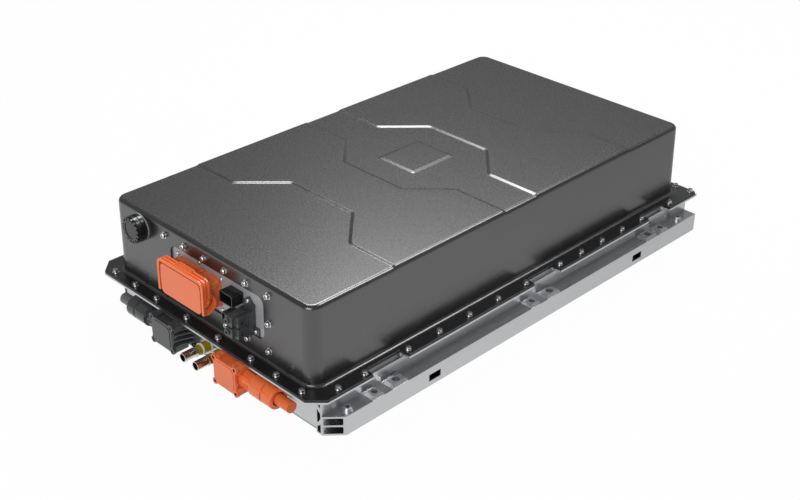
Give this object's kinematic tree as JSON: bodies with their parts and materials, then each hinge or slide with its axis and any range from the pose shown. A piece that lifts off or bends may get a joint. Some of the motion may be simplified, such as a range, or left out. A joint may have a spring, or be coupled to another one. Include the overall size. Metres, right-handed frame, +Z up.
{
  "type": "traction battery",
  "caption": "Traction battery pack with a grained cover on an extruded frame, side ledges with mounting bosses, power and signal connectors, coolant ports and a service disconnect with a lever.",
  "frame": {"origin": "centre of the rectangle of small mounting holes, at the level of the rails' undersides", "axes": "+Y along the pack away from the connector front, +Z up, +X to the right seen from the connector front"},
  "size_m": [0.63, 1.0664, 0.2231],
  "materials": {
    "gasket_grey": "matt",
    "cover": "fine grain",
    "rubber_black": "matt",
    "aluminium_satin": "satin extruded",
    "black_paint": "matt",
    "bottom_panel": "satin",
    "seal_teal": "matt",
    "cold_plate_aluminium": "satin",
    "bushing_steel": "turned",
    "screw_steel": "bright",
    "panel_aluminium": "blasted",
    "orange_plastic": "satin moulded",
    "orange_cable": "smooth",
    "grey_cable": "smooth",
    "black_plastic": "satin moulded",
    "dark_grey_plastic": "satin moulded",
    "grey_plastic": "satin moulded",
    "tube_aluminium": "satin",
    "clip_white": "smooth",
    "collar_olive": "smooth",
    "cell_blue": "film",
    "copper": "plain",
    "board_green": "lacquered"
  },
  "bodies": {
    "pack": {"top_cover": "cover", "cover_gasket": "rubber_black", "panel_gasket": "rubber_black", "valve_seal": "gasket_grey", "sealing_flange": "aluminium_satin", "side_rail_left": "aluminium_satin", "side_rail_right": "aluminium_satin", "front_beam": "aluminium_satin", "rear_beam": "aluminium_satin", "cross_beam_1": "aluminium_satin", "cross_beam_2": "aluminium_satin", "cross_beam_3": "aluminium_satin", "cross_beam_4": "aluminium_satin", "row_frame_1": "aluminium_satin", "row_frame_2": "aluminium_satin", "row_frame_3": "aluminium_satin", "row_frame_4": "aluminium_satin", "corner_plate": "black_paint", "bottom_plate": "bottom_panel", "bottom_seal": "seal_teal", "cold_plate": "cold_plate_aluminium", "mount_bushings_small": "bushing_steel", "mount_bushings_large": "bushing_steel", "rail_inserts": "bushing_steel", "flange_screws": "screw_steel", "window_screws": "screw_steel", "panel_screws": "screw_steel", "hv_screws": "screw_steel", "service_panel": "panel_aluminium", "msd_base": "orange_plastic", "hv_plus_housing": "orange_plastic", "hv_plus_cover": "orange_plastic", "hv_plus_gland": "orange_plastic", "hv_plus_nut": "orange_plastic", "hv_plus_cable": "orange_cable", "hv_minus_cable": "grey_cable", "lv_header_upper": "black_plastic", "lv_header_lower": "black_plastic", "valve_body": "black_plastic", "valve_cap": "black_plastic", "power_switchgear": "black_plastic", "lv_header_side": "dark_grey_plastic", "lv_plug": "dark_grey_plastic", "hv_minus_housing": "grey_plastic", "hv_minus_cover": "grey_plastic", "hv_minus_gland": "grey_plastic", "hv_minus_nut": "grey_plastic", "coolant_inlet": "tube_aluminium", "coolant_outlet": "tube_aluminium", "coolant_clips": "clip_white", "coolant_seals": "collar_olive", "cell_row_1": "cell_blue", "cell_row_2": "cell_blue", "cell_row_3": "cell_blue", "cell_row_4": "cell_blue", "cell_busbars": "copper", "power_links": "copper", "management_board": "board_green"},
    "disconnect_plug": {"msd_plug": "orange_plastic"},
    "disconnect_lever": {"msd_lever": "orange_plastic"}
  },
  "joints": [
    {"name": "disconnect_pull", "type": "slide", "parent": "pack", "child": "disconnect_plug", "axis": [0, -0.9998, 0.0209], "range_m": [0, 0.06]},
    {"name": "lever_turn", "type": "hinge", "parent": "disconnect_plug", "child": "disconnect_lever", "pos_m": [-0.0225, -0.51944, 0.14865], "axis": [1, 0, 0], "range_deg": [0, 90]}
  ]
}
